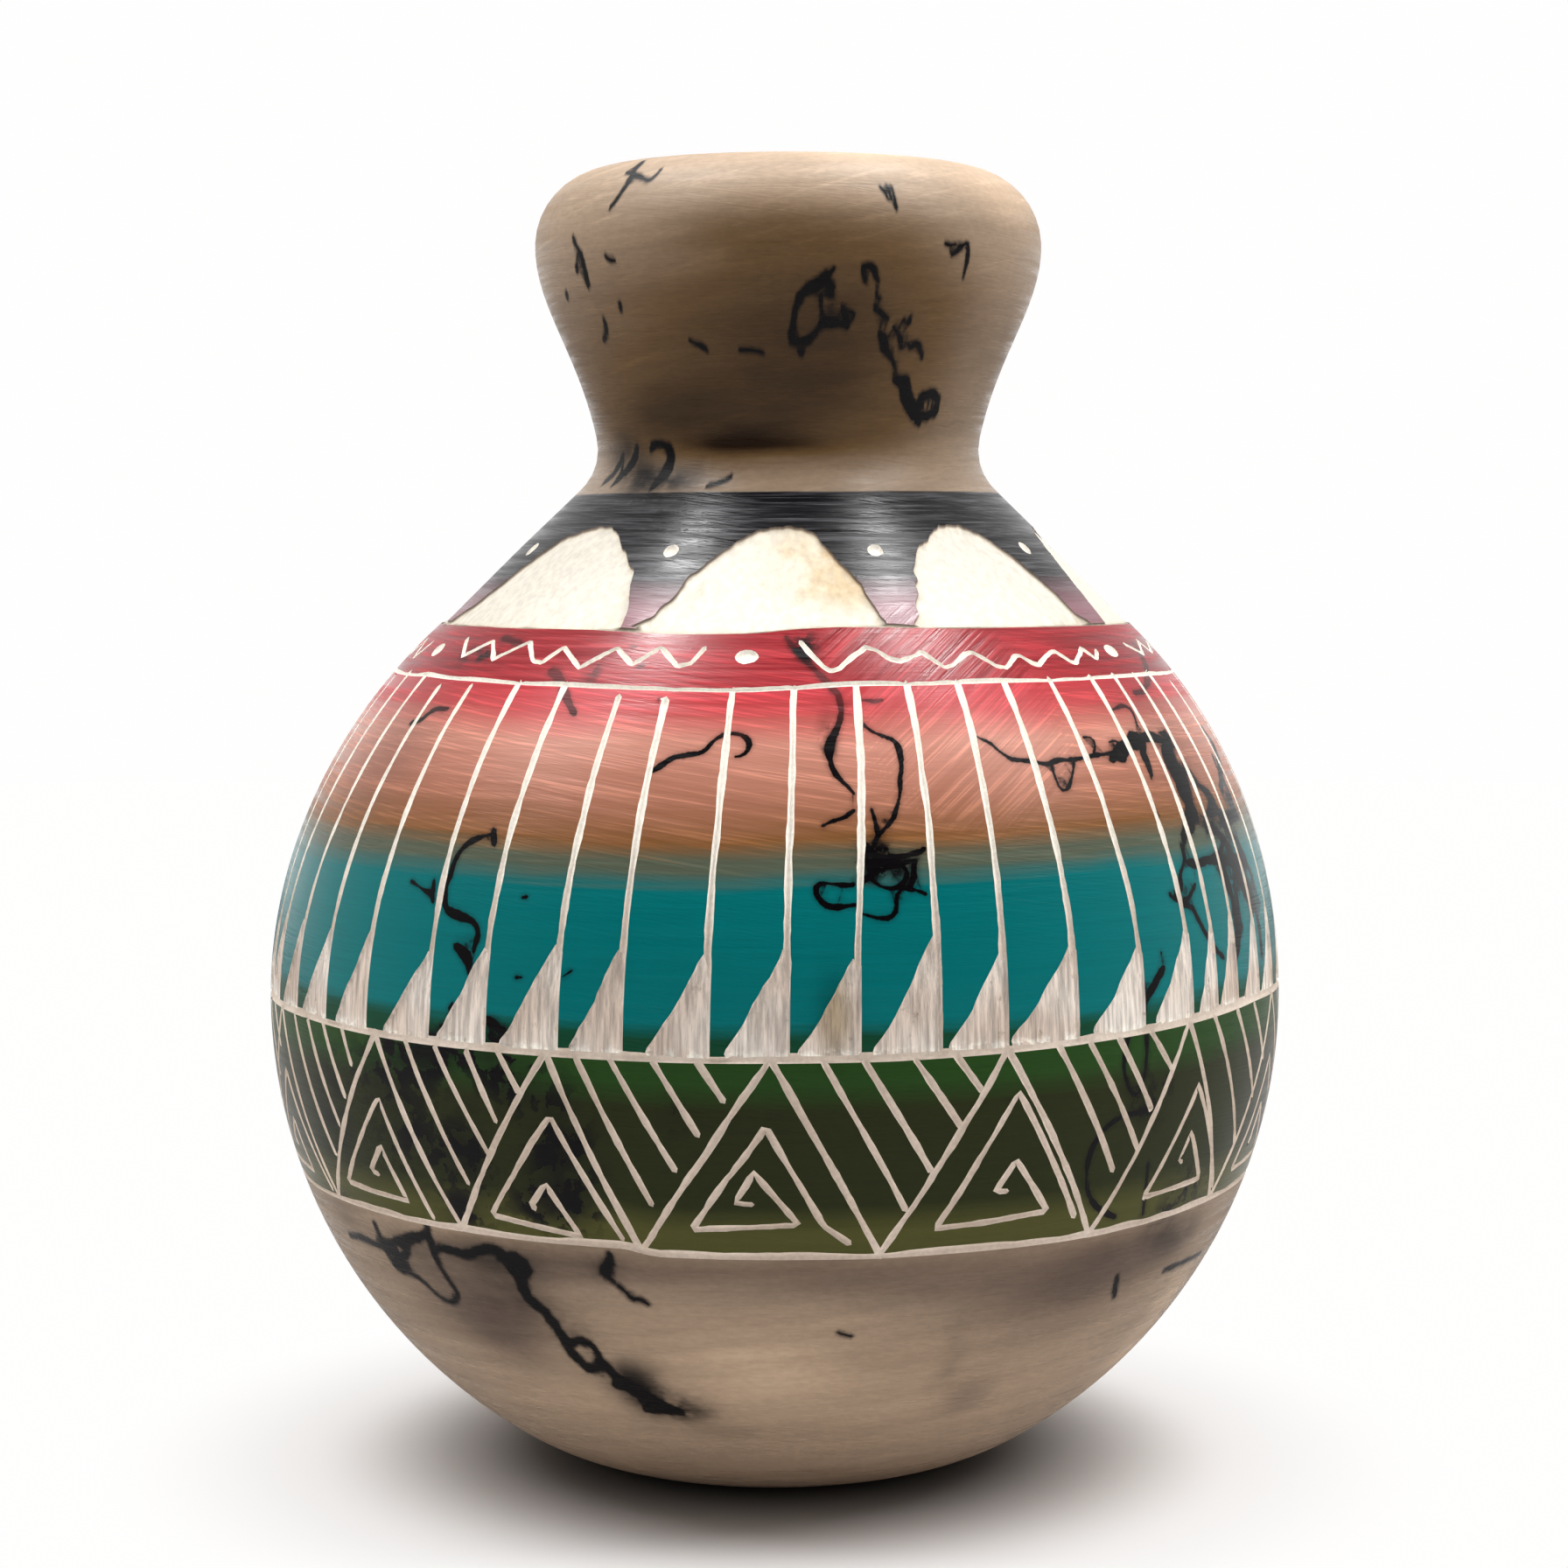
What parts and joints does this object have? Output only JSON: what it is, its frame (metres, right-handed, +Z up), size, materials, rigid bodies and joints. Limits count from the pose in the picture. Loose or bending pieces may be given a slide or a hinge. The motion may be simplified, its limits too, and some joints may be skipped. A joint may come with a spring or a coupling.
{
  "type": "carved pottery vase",
  "caption": "Ball-shaped fired-clay vase with a short waisted neck, a rolled-in rim and a small flat foot.",
  "frame": {"origin": "centre of the foot, on the surface the vase stands on", "axes": "+Z up through the mouth, +X to the right and -Y towards the viewer of the pictured side"},
  "size_m": [0.159, 0.159, 0.2027],
  "materials": {
    "burnished_clay": "burnished bare clay with painted and carved bands, satin"
  },
  "bodies": {
    "root": {"vessel": "burnished_clay"}
  },
  "joints": []
}
